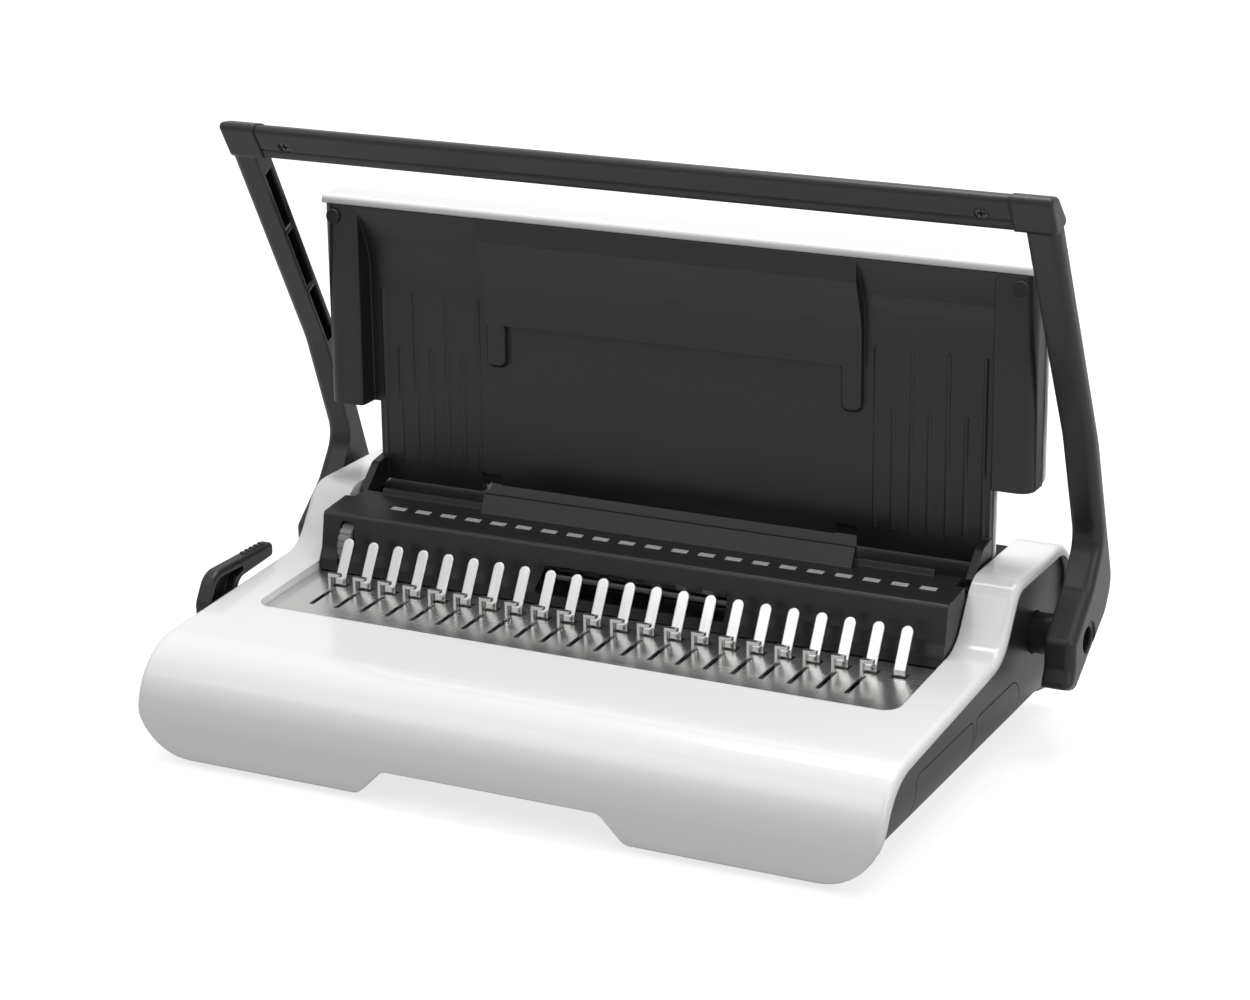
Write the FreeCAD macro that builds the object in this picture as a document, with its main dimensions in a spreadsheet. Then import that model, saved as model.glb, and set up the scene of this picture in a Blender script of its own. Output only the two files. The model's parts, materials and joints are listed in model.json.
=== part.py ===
import FreeCAD, Part
import math
import os
import re
import Sketcher

# Comb binding machine, millimetres, +Z up, +Y to the back, origin under the middle of its bounding box.
doc = FreeCAD.newDocument("CombBinder")
sheet = doc.addObject("Spreadsheet::Sheet", "Sizes")

SIZES = {
    # casing
    "cover_half": 192, "apron_y": -124.5, "rear_y": 124.5, "base_z": 3.6, "corner_round": 30,
    "crown_z": 61.1, "crown_slope": 0.0642, "apron_round": 34, "cover_wall": 3, "lip_depth": 5,
    "flange_depth": 8, "flange_wall": 2.5, "rim_round": 3.5,
    "hump_foot_y": 22.4, "hump_top_y": 42.4, "hump_top_z": 91.4, "hump_foot_round": 22,
    "hump_top_round": 16, "hump_rear_round": 24,
    "mouth_half": 169, "mouth_y": -52, "mouth_round": 8,
    "notch_top_half": 56, "notch_base_half": 69, "notch_z": 16.6, "notch_round": 7,
    "panel_half": 188, "panel_wall": 2.5, "pan_half": 139.8, "pan_front_y": -84, "pan_wall": 2.5,
    "inner_half": 168.4, "rear_cover_z": 84, "rear_cover_y": 121, "skin": 2.5,
    "foot_radius": 9, "foot_x": 128, "foot_front_y": -74, "foot_rear_y": 106,
    # drawers
    "storage_front_y": -74, "storage_rear_y": -3, "chip_front_y": 1, "chip_rear_y": 60, "drawer_z": 38.5,
    "drawer_gap": 0.5, "chip_end_round": 12, "drawer_round": 4, "tray_wall": 1.8, "tray_rim_z": 22,
    "tray_floor_z": 7.4, "storage_reach_x": -100, "chip_reach_x": -150, "pull_depth": 5,
    # comb plate, fingers and hooks
    "pitch": 14.2875, "comb_x": 152.95, "plate_z": 56.64, "plate_slope": 0.0485, "plate_wall": 1.5,
    "plate_rear_y": 9.2, "slit_wide": 2.6, "slit_front_y": -33.5, "slit_rear_y": -12.2,
    "window_wide": 7.4, "window_front_y": -9.6, "window_rear_y": -3.4,
    "finger_wide": 5.6, "finger_wall": 1.2, "finger_foot_y": -7.4, "finger_bend_z": 59.5,
    "finger_top_y": 3.2, "finger_top_z": 77.8, "strip_z": 51.6, "strip_wall": 1.6, "strip_half": 156,
    "hook_x": -1.2, "hook_wide": 1.4, "hook_y": -15.8, "hook_deep": 3, "hook_top_z": 65.2,
    "hook_arm": 6.4, "hook_arm_tall": 1.6, "slide_z": 46.6, "slide_wall": 1.8,
    # comb opener
    "opener_y": -42, "opener_z": 30, "opener_radius": 4, "crank_throw": 12, "crank_pin": 2.5,
    "crank_x": 122, "crank_wall": 4, "crank_hub": 7, "crank_eye": 3.8, "fork_wall": 6, "fork_half": 7,
    "fork_gap": 0.6, "fork_foot_z": 35, "fork_top_z": 45.2,
    "lever_in": 192.5, "lever_out": 200, "lever_round": 2.2,
    # frames, die and punches
    "frame_x": 160, "frame_wall": 3, "frame_top_z": 79, "frame_rear_y": 112, "bridge_z": 26,
    "flange_x": 130, "flange_wall_z": 2, "screw_radius": 1.8, "screw_head": 3.4, "screw_head_tall": 2,
    "slot_front_y": 48.5, "slot_wide": 3, "die_front_wall": 4, "die_rear_wall": 2.5, "die_base_z": 36,
    "die_front_z": 82.6, "die_rear_z": 78, "stop_z": 57, "slot_half": 157,
    "punch_z": 61.5, "punch_wide": 8, "punch_tall": 3, "punch_gap": 0.2, "punch_tip_y": 51.9,
    "bar_front_y": 65, "bar_rear_y": 71, "bar_low_z": 54, "bar_top_z": 70, "bar_half": 156,
    "shaft_y": 79.5, "shaft_z": 54.5, "shaft_radius": 6, "run_gap": 0.05, "bush_radius": 9,
    "bush_long": 7, "cam_base": 8, "cam_x": 140, "cam_wall": 10, "cam_gap": 0.3, "pull_angle": 66,
    "sleeve_radius": 10, "sleeve_in": 166,
    "spring_x": 100, "spring_z": 66, "spring_radius": 2.9, "spring_wire": 0.6, "spring_pitch": 3.2,
    "tie_y": 110, "tie_radius": 3,
    # punch cover
    "ledge_front_y": 13.5, "ledge_front_z": 86.4, "ledge_rear_z": 89.6, "punch_rear_y": 44.2,
    "wall_low_z": 92.4, "wall_top_z": 97.5, "wall_left": -91, "wall_right": 110, "wall_foot_y": 36.5,
    "dial_x": -154.3, "dial_y": 20, "dial_z": 69.5, "dial_radius": 12.6, "dial_wide": 6.5,
    "dial_slot_wide": 7.9, "screw_rod": 3, "guide_x": -147, "guide_wall": 2,
    "view_left": -41, "view_right": 57, "view_low_z": 62.5, "view_top_z": 76.5,
    "rod_y": 18, "rod_z": 69, "rod_radius": 2.6,
    # lid
    "hinge_y": 53, "hinge_z": 84, "hinge_pin": 2, "lid_half": 191.6, "lid_foot_half": 168,
    "lid_foot_z": 87.3, "lid_wing_z": 128.6, "lid_top_z": 238.6, "lid_front_y": 58.5, "lid_panel_y": 70.5,
    "lid_seam_y": 75.4, "lid_rear_y": 81, "lid_wall": 2.5, "lid_round": 5, "brow_tall": 4.2,
    "wing_in": 170.5, "pad_half": 102, "pad_low_z": 178.6, "pad_leg_z": 156, "pad_leg": 11, "pad_rise": 4,
    "rib_radius": 1.2, "rib_first_x": 108.2, "rib_last_x": 163.5, "rib_low_z": 99, "rib_tall_z": 189.5,
    "rib_short_z": 160, "bumper_x": 183.6, "bumper_z": 228.2, "bumper_radius": 3.9, "bumper_tall": 1.6,
    # handle
    "arm_in": 200.5, "arm_out": 215, "cap_in": 195, "bar_inset": 0.5, "arm_round": 4.5,
    "recess_radius": 6.6, "recess_deep": 6, "dish_radius": 9.5, "dish_deep": 0.8,
    "handle_screw_x": 180.5, "handle_screw_radius": 3.2, "face_lean": 32,
}

COUNT_FINGERS = 22
COUNT_HOLES = 21
RIBS_A_SIDE = 7

for row, (alias, number) in enumerate(SIZES.items(), start=1):
    sheet.set("A%d" % row, alias)
    sheet.set("B%d" % row, str(number))
    sheet.setAlias("B%d" % row, alias)
doc.recompute()

WORDS = re.compile(r"[a-z][a-z_]*[a-z]")


def bound(text):
    """The text with each size's name pointed at its sheet cell."""
    return WORDS.sub(lambda word: "Sizes." + word.group() if word.group() in SIZES else word.group(),
                     str(text))


def value(text):
    """The number that an expression gives now."""
    return float(sheet.evalExpression(str(text)))


def bind(thing, **sizes):
    for name, text in sizes.items():
        thing.setExpression(name, bound(text))
    return thing


def place(thing, x="0", y="0", z="0"):
    for axis, text in (("x", x), ("y", y), ("z", z)):
        thing.setExpression("Placement.Base." + axis, bound(text))
    return thing


def box(label, x, y, z):
    """A block between low and high expressions on each axis."""
    block = doc.addObject("Part::Box", label)
    bind(block, Length="(%s) - (%s)" % (x[1], x[0]), Width="(%s) - (%s)" % (y[1], y[0]))
    bind(block, Height="(%s) - (%s)" % (z[1], z[0]))
    return place(block, x[0], y[0], z[0])


def rod(label, radius, x, y, z):
    """A round bar along X from x[0] to x[1] at y, z."""
    bar = doc.addObject("Part::Cylinder", label)
    bar.Placement = FreeCAD.Placement(FreeCAD.Vector(), FreeCAD.Rotation(FreeCAD.Vector(0, 1, 0), 90))
    bind(bar, Radius=radius, Height="(%s) - (%s)" % (x[1], x[0]))
    return place(bar, x[0], y, z)


def post(label, radius, x, y, z):
    """A round bar along Z."""
    bar = doc.addObject("Part::Cylinder", label)
    bind(bar, Radius=radius, Height="(%s) - (%s)" % (z[1], z[0]))
    return place(bar, x, y, z[0])


def prism(label, plane, corners, start, length, rounds=()):
    """A straight-sided body: corners drawn on an origin plane, padded along that plane's normal.

    rounds is a list of (radius, corner numbers), for the edges that the corners draw.
    """
    body = doc.addObject("PartDesign::Body", label)
    sketch = body.newObject("Sketcher::SketchObject", label + "_outline")
    origin = [feature for feature in body.Origin.OriginFeatures if feature.Role == plane][0]
    sketch.AttachmentSupport = [(origin, "")]
    sketch.MapMode = "FlatFace"
    sketch.setExpression("AttachmentOffset.Base.z", bound(start))
    points = [FreeCAD.Vector(value(u), value(v), 0) for u, v in corners]
    last = len(points)
    for i in range(last):
        sketch.addGeometry(Part.LineSegment(points[i], points[(i + 1) % last]), False)
    for i in range(last):
        sketch.addConstraint(Sketcher.Constraint("Coincident", i, 2, (i + 1) % last, 1))
    for i, (u, v) in enumerate(corners):
        for kind, text, number in (("DistanceX", u, points[i].x), ("DistanceY", v, points[i].y)):
            at = sketch.addConstraint(Sketcher.Constraint(kind, -1, 1, i, 1, number))
            sketch.setExpression("Constraints[%d]" % at, bound(text))
    pad = body.newObject("PartDesign::Pad", label + "_pad")
    pad.Profile = sketch
    pad.setExpression("Length", bound(length))
    doc.recompute()
    tip = pad
    for radius, numbers in rounds:
        wanted = [sketch.Placement.multVec(points[n]) for n in numbers]
        normal = sketch.Placement.Rotation.multVec(FreeCAD.Vector(0, 0, 1))
        names = edges_through(tip.Shape, wanted, normal)
        tip = round_edges(body, tip, names, radius)
    return body


def edges_through(shape, points, direction):
    """Names of the straight edges along direction that pass through the points."""
    names = []
    for number, edge in enumerate(shape.Edges, start=1):
        if len(edge.Vertexes) != 2 or not isinstance(edge.Curve, Part.Line):
            continue
        along = edge.Vertexes[1].Point - edge.Vertexes[0].Point
        if along.cross(direction).Length > 1e-4 * along.Length:
            continue
        for point in points:
            offset = edge.Vertexes[0].Point - point
            if (offset - direction * offset.dot(direction)).Length < 1e-3:
                names.append("Edge%d" % number)
                break
    return names


def edges_on(shape, test):
    """Names of the edges whose middle passes the test."""
    names = []
    for number, edge in enumerate(shape.Edges, start=1):
        middle = edge.valueAt((edge.FirstParameter + edge.LastParameter) / 2)
        if test(edge, middle):
            names.append("Edge%d" % number)
    return names


def round_edges(body, tip, names, radius):
    fillet = body.newObject("PartDesign::Fillet", body.Name + "_round")
    fillet.Base = (tip, names)
    fillet.setExpression("Radius", bound(radius))
    doc.recompute()
    return fillet


def round_solid(label, base, test, radius):
    """A copy of base with the edges that pass the test rounded."""
    doc.recompute()
    fillet = doc.addObject("Part::Fillet", label)
    fillet.Base = base
    size = value(radius)
    fillet.Edges = [(int(name[4:]), size, size) for name in edges_on(base.Shape, test)]
    return fillet


def fuse(label, *shapes):
    joined = doc.addObject("Part::MultiFuse", label)
    joined.Shapes = list(shapes)
    return joined


def common(label, *shapes):
    shared = doc.addObject("Part::MultiCommon", label)
    shared.Shapes = list(shapes)
    return shared


def cut(label, base, *tools):
    tool = tools[0]
    if len(tools) > 1:
        tool = fuse(label + "_tools", *tools)
    result = doc.addObject("Part::Cut", label)
    result.Base = base
    result.Tool = tool
    return result


def group(label, *shapes):
    """Separate solids kept in one node."""
    pack = doc.addObject("Part::Compound", label)
    pack.Links = list(shapes)
    return pack


def mirror(label, source):
    """The same piece on the other side of the machine's middle plane."""
    twin = doc.addObject("Part::Mirroring", label)
    twin.Source = source
    twin.Normal = FreeCAD.Vector(1, 0, 0)
    return twin


NODES = []


def node(thing, label):
    thing.Label = label
    NODES.append(thing)
    return thing


# Side outline of the casing, moved inwards by depth
CROWN_FRONT = "crown_z + crown_slope * apron_y"
CROWN_FOOT = "crown_z + crown_slope * hump_foot_y"
RAMP_SHIFT = "tan(atan((hump_top_z - (%s)) / (hump_top_y - hump_foot_y)) / 2)" % CROWN_FOOT


def casing_outline(depth, low):
    corners = [
        ("apron_y + %s" % depth, low),
        ("apron_y + %s" % depth, "%s - %s" % (CROWN_FRONT, depth)),
        ("hump_foot_y + %s * %s" % (depth, RAMP_SHIFT), "%s - %s" % (CROWN_FOOT, depth)),
        ("hump_top_y + %s * %s" % (depth, RAMP_SHIFT), "hump_top_z - %s" % depth),
        ("rear_y - %s" % depth, "hump_top_z - %s" % depth),
        ("rear_y - %s" % depth, low),
    ]
    rounds = [
        ("apron_round - %s" % depth, [1]),
        ("hump_foot_round + %s" % depth, [2]),
        ("hump_top_round - %s" % depth, [3]),
        ("hump_rear_round - %s" % depth, [4]),
    ]
    return corners, rounds


def casing_slab(label, depth, low, x):
    corners, rounds = casing_outline(depth, low)
    return prism(label, "YZ_Plane", corners, x[0], "(%s) - (%s)" % (x[1], x[0]), rounds)


def both_sides(label, source):
    return [source, mirror(label, source)]


# Top cover: apron, sloping crown and two side humps round an open mouth
def top_cover():
    outer = casing_slab("CoverOuter", "0", "base_z", ("-cover_half", "cover_half"))
    side = value("cover_half")
    low = value("base_z")
    rims = edges_on(outer.Shape,
                    lambda edge, middle: abs(abs(middle.x) - side) < 1e-3 and middle.z > low + 1)
    round_edges(outer, outer.Tip, rims, "rim_round")
    face = prism(
        "CoverFace", "XZ_Plane",
        [
            ("-cover_half", "2 * hump_top_z"), ("-cover_half", "base_z"), ("-notch_base_half", "base_z"),
            ("-notch_top_half", "notch_z"), ("notch_top_half", "notch_z"), ("notch_base_half", "base_z"),
            ("cover_half", "base_z"), ("cover_half", "2 * hump_top_z"),
        ],
        "2 * apron_y", "4 * rear_y", [("corner_round", [1, 6]), ("notch_round", [2, 3, 4, 5])],
    )
    block = common("CoverBlock", outer, face)
    hollow = prism(
        "CoverHollow", "YZ_Plane",
        [
            ("apron_y + cover_wall", "-base_z"),
            ("apron_y + cover_wall", CROWN_FRONT + " - cover_wall"),
            ("mouth_y - flange_wall", "crown_z + crown_slope * mouth_y - cover_wall"),
            ("mouth_y - flange_wall", "-base_z"),
        ],
        "cover_wall - cover_half", "2 * (cover_half - cover_wall)", [("apron_round - cover_wall", [1])],
    )
    arm_in = "mouth_half + flange_wall"
    arm = casing_slab("CoverArm", "cover_wall", "-base_z", (arm_in, "cover_half - cover_wall"))
    lip = casing_slab("CoverLip", "lip_depth", "-base_z", (arm_in, "cover_half + lip_depth"))
    flange = casing_slab("CoverFlange", "flange_depth", "-base_z", ("-(%s) - 1" % arm_in, arm_in + " + 1"))
    mouth = prism(
        "CoverMouth", "XY_Plane",
        [("-mouth_half", "mouth_y"), ("mouth_half", "mouth_y"), ("mouth_half", "2 * rear_y"),
         ("-mouth_half", "2 * rear_y")],
        "0", "2 * hump_top_z", [("mouth_round", [0, 1])],
    )
    pins = rod("CoverPinHoles", "hinge_pin", ("-cover_half + 10", "cover_half - 10"), "hinge_y", "hinge_z")
    tools = [hollow, flange, mouth, pins]
    tools += both_sides("CoverArmTwin", arm)
    tools += both_sides("CoverLipTwin", lip)
    return cut("CoverCut", block, *tools)


node(top_cover(), "top_cover")


# Flanks: a wall that turns under at the foot, cut to the casing outline and for the drawers
def flank_shell():
    outer = prism(
        "FlankOuter", "XZ_Plane",
        [("pan_half + 0.2", "base_z"), ("panel_half", "base_z"), ("panel_half", "2 * hump_top_z"),
         ("pan_half + 0.2", "2 * hump_top_z")],
        "-rear_y + 1", "2 * rear_y - 2", [("corner_round", [1])],
    )
    inner = prism(
        "FlankInner", "XZ_Plane",
        [("pan_half - 1", "base_z + panel_wall"), ("panel_half - panel_wall", "base_z + panel_wall"),
         ("panel_half - panel_wall", "3 * hump_top_z"), ("pan_half - 1", "3 * hump_top_z")],
        "-2 * rear_y", "4 * rear_y", [("corner_round - panel_wall", [1])],
    )
    return cut("FlankShell", outer, inner)


def drawer_face(label, front, rear, gap, end_round, inner_x):
    """The side outline of a drawer front, grown by gap."""
    return prism(
        label, "YZ_Plane",
        [("%s - %s" % (front, gap), "-base_z"), ("%s - %s" % (front, gap), "drawer_z + %s" % gap),
         ("%s + %s" % (rear, gap), "drawer_z + %s" % gap), ("%s + %s" % (rear, gap), "-base_z")],
        inner_x, "cover_half - (%s)" % inner_x,
        [("drawer_round + %s" % gap, [1]), ("%s + %s" % (end_round, gap), [2])],
    )


shell = flank_shell()
outline = casing_slab("FlankOutline", "(lip_depth - 1)", "-base_z", ("pan_half - 5", "cover_half + 5"))
flange_room = box("FlangeRoom", ("mouth_half - 0.4", "mouth_half + flange_wall + 0.4"),
                  ("rear_y - flange_depth - 0.4", "rear_y"), ("0", "corner_round"))
panel = cut("FlankPanel", common("FlankShape", shell, outline), flange_room)
axle_hole = rod("AxleHole", "sleeve_radius + 0.6", ("pan_half", "cover_half"), "shaft_y", "shaft_z")
hole_in = "pan_half - 5"
storage_hole = drawer_face(
    "StorageHole", "storage_front_y", "storage_rear_y", "drawer_gap", "drawer_round", hole_in)
chip_hole = drawer_face("ChipHole", "chip_front_y", "chip_rear_y", "drawer_gap", "chip_end_round", hole_in)
node(cut("FlankRight", panel, axle_hole, storage_hole, chip_hole), "side_panel_right")
opener_hole = rod("OpenerHole", "opener_radius + 1", ("pan_half", "cover_half"), "opener_y", "opener_z")
node(mirror("FlankLeft", cut("FlankLeftCut", panel, axle_hole, opener_hole)), "side_panel_left")


# Base pan with drawer rails, its feet, and the screws that hold the frames to it
def screw_places():
    for x in ("-flange_x - 8", "flange_x + 8"):
        for y in ("pan_front_y + 4", "frame_rear_y - 38", "frame_rear_y - 8"):
            yield x, y


def screw_shanks(label):
    return [
        post("%s%d" % (label, i), "screw_radius", x, y,
             ("base_z + 0.5", "base_z + pan_wall + flange_wall_z"))
        for i, (x, y) in enumerate(screw_places())
    ]


pan_top = "base_z + pan_wall"
floor = box("PanFloor", ("-pan_half", "pan_half"), ("pan_front_y", "rear_cover_y - skin"),
            ("base_z", pan_top))
rails = [
    box("PanRail%d" % i, ("-pan_half + 16", "pan_half - 16"), (low, low + " + 1.6"),
        ("base_z + 1", "tray_rim_z - 8"))
    for i, low in enumerate(("storage_front_y - 2", "storage_rear_y + 0.6", "chip_rear_y + 0.6"))
]
rails.append(box("PanLip", ("-pan_half", "pan_half"), ("rear_cover_y - 2 * skin", "rear_cover_y - skin"),
                 ("base_z + 1", "base_z + 12")))
shanks = screw_shanks("Shank")
node(cut("PanCut", fuse("PanFuse", floor, *rails), *shanks), "base_pan")
node(
    group("FootGroup", *[
        round_solid("Foot%d" % i, post("FootRaw%d" % i, "foot_radius", x, y, ("0", "base_z")),
                    lambda edge, middle: middle.z < 0.1 and edge.Closed, "1")
        for i, (x, y) in enumerate(
            [(x, y) for x in ("-foot_x", "foot_x") for y in ("foot_front_y", "foot_rear_y")])
    ]),
    "foot_pads",
)
heads = [
    fuse("Screw%d" % i,
         post("ScrewHead%d" % i, "screw_head", x, y,
              (pan_top + " + flange_wall_z", pan_top + " + flange_wall_z + screw_head_tall")),
         shanks[i])
    for i, (x, y) in enumerate(screw_places())
]
node(group("ScrewGroup", *heads), "frame_screws")


# Steel side frames: they carry the shafts, the dies and the comb plate
def frame_right():
    plate_under = "plate_z - plate_wall + plate_slope * %s"
    leg_z = pan_top + " + 0.7"
    plate = prism(
        "FramePlate", "YZ_Plane",
        [
            ("pan_front_y", leg_z), ("pan_front_y + 8", leg_z), ("pan_front_y + 8", "bridge_z"),
            ("chip_rear_y + 4", "bridge_z"), ("chip_rear_y + 4", leg_z), ("frame_rear_y", leg_z),
            ("frame_rear_y", "frame_top_z"), ("punch_rear_y - 24", "frame_top_z"),
            ("plate_rear_y + 6", plate_under % "plate_rear_y" + " + 2"),
            ("plate_rear_y", plate_under % "plate_rear_y"),
            ("mouth_y + 0.6", plate_under % "(mouth_y + 0.6)"), ("mouth_y + 0.6", "crown_z - 14"),
            ("pan_front_y", "crown_z - 14"),
        ],
        "frame_x", "frame_wall", [("8", [6]), ("4", [12])],
    )
    flat_end = "panel_half - corner_round"
    foot_top = pan_top + " + flange_wall_z"
    feet = []
    for y in (("pan_front_y", "pan_front_y + 8"), ("chip_rear_y + 4", "frame_rear_y")):
        feet.append(box("FrameFoot", ("flange_x", flat_end), y, (pan_top, foot_top)))
        feet.append(box("FrameHeel", (flat_end + " - 1", "frame_x + 0.5"), y, (leg_z, foot_top)))
    solid = fuse("FrameSolid", plate, *feet)
    main = rod("FrameMainHole", "bush_radius", ("frame_x - 5", "frame_x + 10"), "shaft_y", "shaft_z")
    opener = rod("FrameOpenerHole", "opener_radius + 2", ("frame_x - 5", "frame_x + 10"), "opener_y",
                 "opener_z")
    tie = rod("FrameTieHole", "tie_radius", ("frame_x - 5", "frame_x + 10"), "tie_y", "spring_z")
    return solid, (main, opener, tie)


frame, frame_holes = frame_right()
right_shanks = [shank for shank, (x, y) in zip(shanks, screw_places()) if not x.startswith("-")]
node(cut("FrameRight", frame, *frame_holes, *right_shanks), "frame_right")
dial_pass = rod("FrameDialHole", "screw_rod + run_gap", ("frame_x - 5", "frame_x + 10"), "dial_y", "dial_z")
node(mirror("FrameLeft", cut("FrameLeftCut", frame, *frame_holes, *right_shanks, dial_pass)), "frame_left")


def bush(label, inner, outer, y, z):
    ring = rod(label + "Ring", outer, ("frame_x - 2", "frame_x - 2 + bush_long"), y, z)
    bore = rod(label + "Bore", inner, ("frame_x - 5", "frame_x + bush_long"), y, z)
    return cut(label, ring, bore)


shaft_bush = bush("ShaftBush", "shaft_radius + run_gap", "bush_radius", "shaft_y", "shaft_z")
node(shaft_bush, "shaft_bush_right")
node(mirror("ShaftBushTwin", shaft_bush), "shaft_bush_left")
opener_bush = bush("OpenerBush", "opener_radius + run_gap", "opener_radius + 2", "opener_y", "opener_z")
node(opener_bush, "opener_bush_right")
node(mirror("OpenerBushTwin", opener_bush), "opener_bush_left")
node(rod("TieRod", "tie_radius", ("-frame_x - frame_wall", "frame_x + frame_wall"), "tie_y", "spring_z"),
     "spring_tie_rod")


def hole_x(number):
    """The X of a punched hole, a hook and all fingers but the first, counted from the right."""
    return "comb_x - pitch * %d" % number


# Comb plate with a slit for each hook and a window for each finger
def comb_plate():
    top = "plate_z + plate_slope * %s"
    front = "(mouth_y + 0.4)"
    plate = prism(
        "CombSheet", "YZ_Plane",
        [(front, top % front + " - plate_wall"), ("plate_rear_y", top % "plate_rear_y" + " - plate_wall"),
         ("plate_rear_y", top % "plate_rear_y"), (front, top % front)],
        "-mouth_half + 0.4", "2 * mouth_half - 0.8",
    )
    corners = edges_on(
        plate.Shape, lambda edge, middle: edge.BoundBox.XLength < 1e-3 and edge.BoundBox.YLength < 1e-3
        and middle.y < value("mouth_y") + 1)
    round_edges(plate, plate.Tip, corners, "mouth_round - 0.4")
    slits = [
        box("Slit%d" % i, (hole_x(i + 1) + " + hook_x - slit_wide / 2",
                           hole_x(i + 1) + " + hook_x + slit_wide / 2"),
            ("slit_front_y", "slit_rear_y"), ("plate_z - 10", "plate_z + 10"))
        for i in range(COUNT_HOLES)
    ]
    windows = [
        box("Window%d" % i, (hole_x(i) + " - window_wide / 2", hole_x(i) + " + window_wide / 2"),
            ("window_front_y", "window_rear_y"), ("plate_z - 10", "plate_z + 10"))
        for i in range(COUNT_FINGERS)
    ]
    return cut("CombPlateCut", plate, *slits, *windows)


node(comb_plate(), "comb_plate")


# Comb fingers: bent steel tongues on one strip under the plate
def comb_fingers():
    strip = box("FingerStrip", ("-strip_half", "strip_half"), ("finger_foot_y - 2", "finger_foot_y + 4"),
                ("strip_z", "strip_z + strip_wall"))
    foot_z = "strip_z + strip_wall"
    fingers = []
    for i in range(COUNT_FINGERS):
        finger = prism(
            "Finger%d" % i, "YZ_Plane",
            [
                ("finger_foot_y", foot_z), ("finger_foot_y + finger_wall", foot_z),
                ("finger_foot_y + finger_wall", "finger_bend_z - 0.3"),
                ("finger_top_y + finger_wall", "finger_top_z - 0.5"),
                ("finger_top_y", "finger_top_z"), ("finger_foot_y", "finger_bend_z"),
            ],
            hole_x(i) + " - finger_wide / 2", "finger_wide",
        )
        top = value("finger_top_z") - 0.6
        tips = edges_on(finger.Shape,
                        lambda edge, middle: edge.BoundBox.XLength < 1e-3 and edge.BoundBox.ZMin > top)
        round_edges(finger, finger.Tip, tips, "finger_wide / 2 - 0.1")
        fingers.append(finger)
    return group("FingersGroup", strip, *fingers)


node(comb_fingers(), "comb_fingers")


# Hook slide: one hook for each ring of the comb, and two forks for the cranks
def hook_slide():
    under = "slide_z + slide_wall"
    strip = box("HookStrip", ("-strip_half + 4", "strip_half"), ("hook_y - 24", "hook_y + hook_deep"),
                ("slide_z", under))
    hooks = []
    for i in range(COUNT_HOLES):
        left = hole_x(i + 1) + " + hook_x - hook_wide / 2"
        deep = ("hook_y", "hook_y + hook_deep")
        leg = box("HookLeg%d" % i, (left, left + " + hook_wide"), deep, (under, "hook_top_z"))
        arm = box("HookArm%d" % i, (left, left + " + hook_arm"), deep,
                  ("hook_top_z - hook_arm_tall", "hook_top_z"))
        hooks.append(fuse("Hook%d" % i, leg, arm))
    rest_y = "(opener_y + crank_throw * sin(45))"
    slot = "(crank_pin + fork_gap)"
    forks = []
    for side in ("-", ""):
        x = ("%scrank_x - fork_wall / 2" % side, "%scrank_x + fork_wall / 2" % side)
        block = box("ForkBlock", x, (rest_y + " - fork_half", rest_y + " + fork_half"),
                    ("fork_foot_z", "slide_z"))
        gap = box("ForkGap", (x[0] + " - 1", x[1] + " + 1"),
                  ("%s - %s" % (rest_y, slot), "%s + %s" % (rest_y, slot)),
                  ("fork_foot_z - 5", "fork_top_z"))
        forks.append(cut("Fork", block, gap))
    return group("HookGroup", strip, *forks, *hooks)


node(hook_slide(), "hook_slide")


# Comb opener: lever, shaft and two cranks
def opener_crank(label, side):
    pin_y = "(opener_y + crank_throw * sin(45))"
    pin_z = "(opener_z + crank_throw * cos(45))"
    inner = "(crank_x + fork_wall / 2 + 0.8)"
    if side == "-":
        x = ("-%s - crank_wall" % inner, "-%s" % inner)
        pin_x = (x[0], "-crank_x + fork_wall / 2 + 1")
    else:
        x = (inner, "%s + crank_wall" % inner)
        pin_x = ("crank_x - fork_wall / 2 - 1", x[1])
    hub = rod(label + "Hub", "crank_hub", x, "opener_y", "opener_z")
    eye = rod(label + "Eye", "crank_eye", x, pin_y, pin_z)
    pin = rod(label + "Pin", "crank_pin", pin_x, pin_y, pin_z)
    wide = "crank_eye * sin(45)"
    web = prism(
        label + "Web", "YZ_Plane",
        [("opener_y - " + wide, "opener_z + " + wide), ("opener_y + " + wide, "opener_z - " + wide),
         (pin_y + " + " + wide, pin_z + " - " + wide), (pin_y + " - " + wide, pin_z + " + " + wide)],
        x[0], "crank_wall",
    )
    bore = rod(label + "Bore", "opener_radius", (x[0] + " - 1", x[1] + " + 1"), "opener_y", "opener_z")
    return cut(label, fuse(label + "Fuse", hub, eye, pin, web), bore)


node(opener_crank("CrankLeft", "-"), "opener_crank_left")
node(opener_crank("CrankRight", ""), "opener_crank_right")
node(rod("OpenerShaft", "opener_radius", ("-lever_out + 2", "frame_x + frame_wall + 2"), "opener_y",
         "opener_z"), "opener_shaft")


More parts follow.
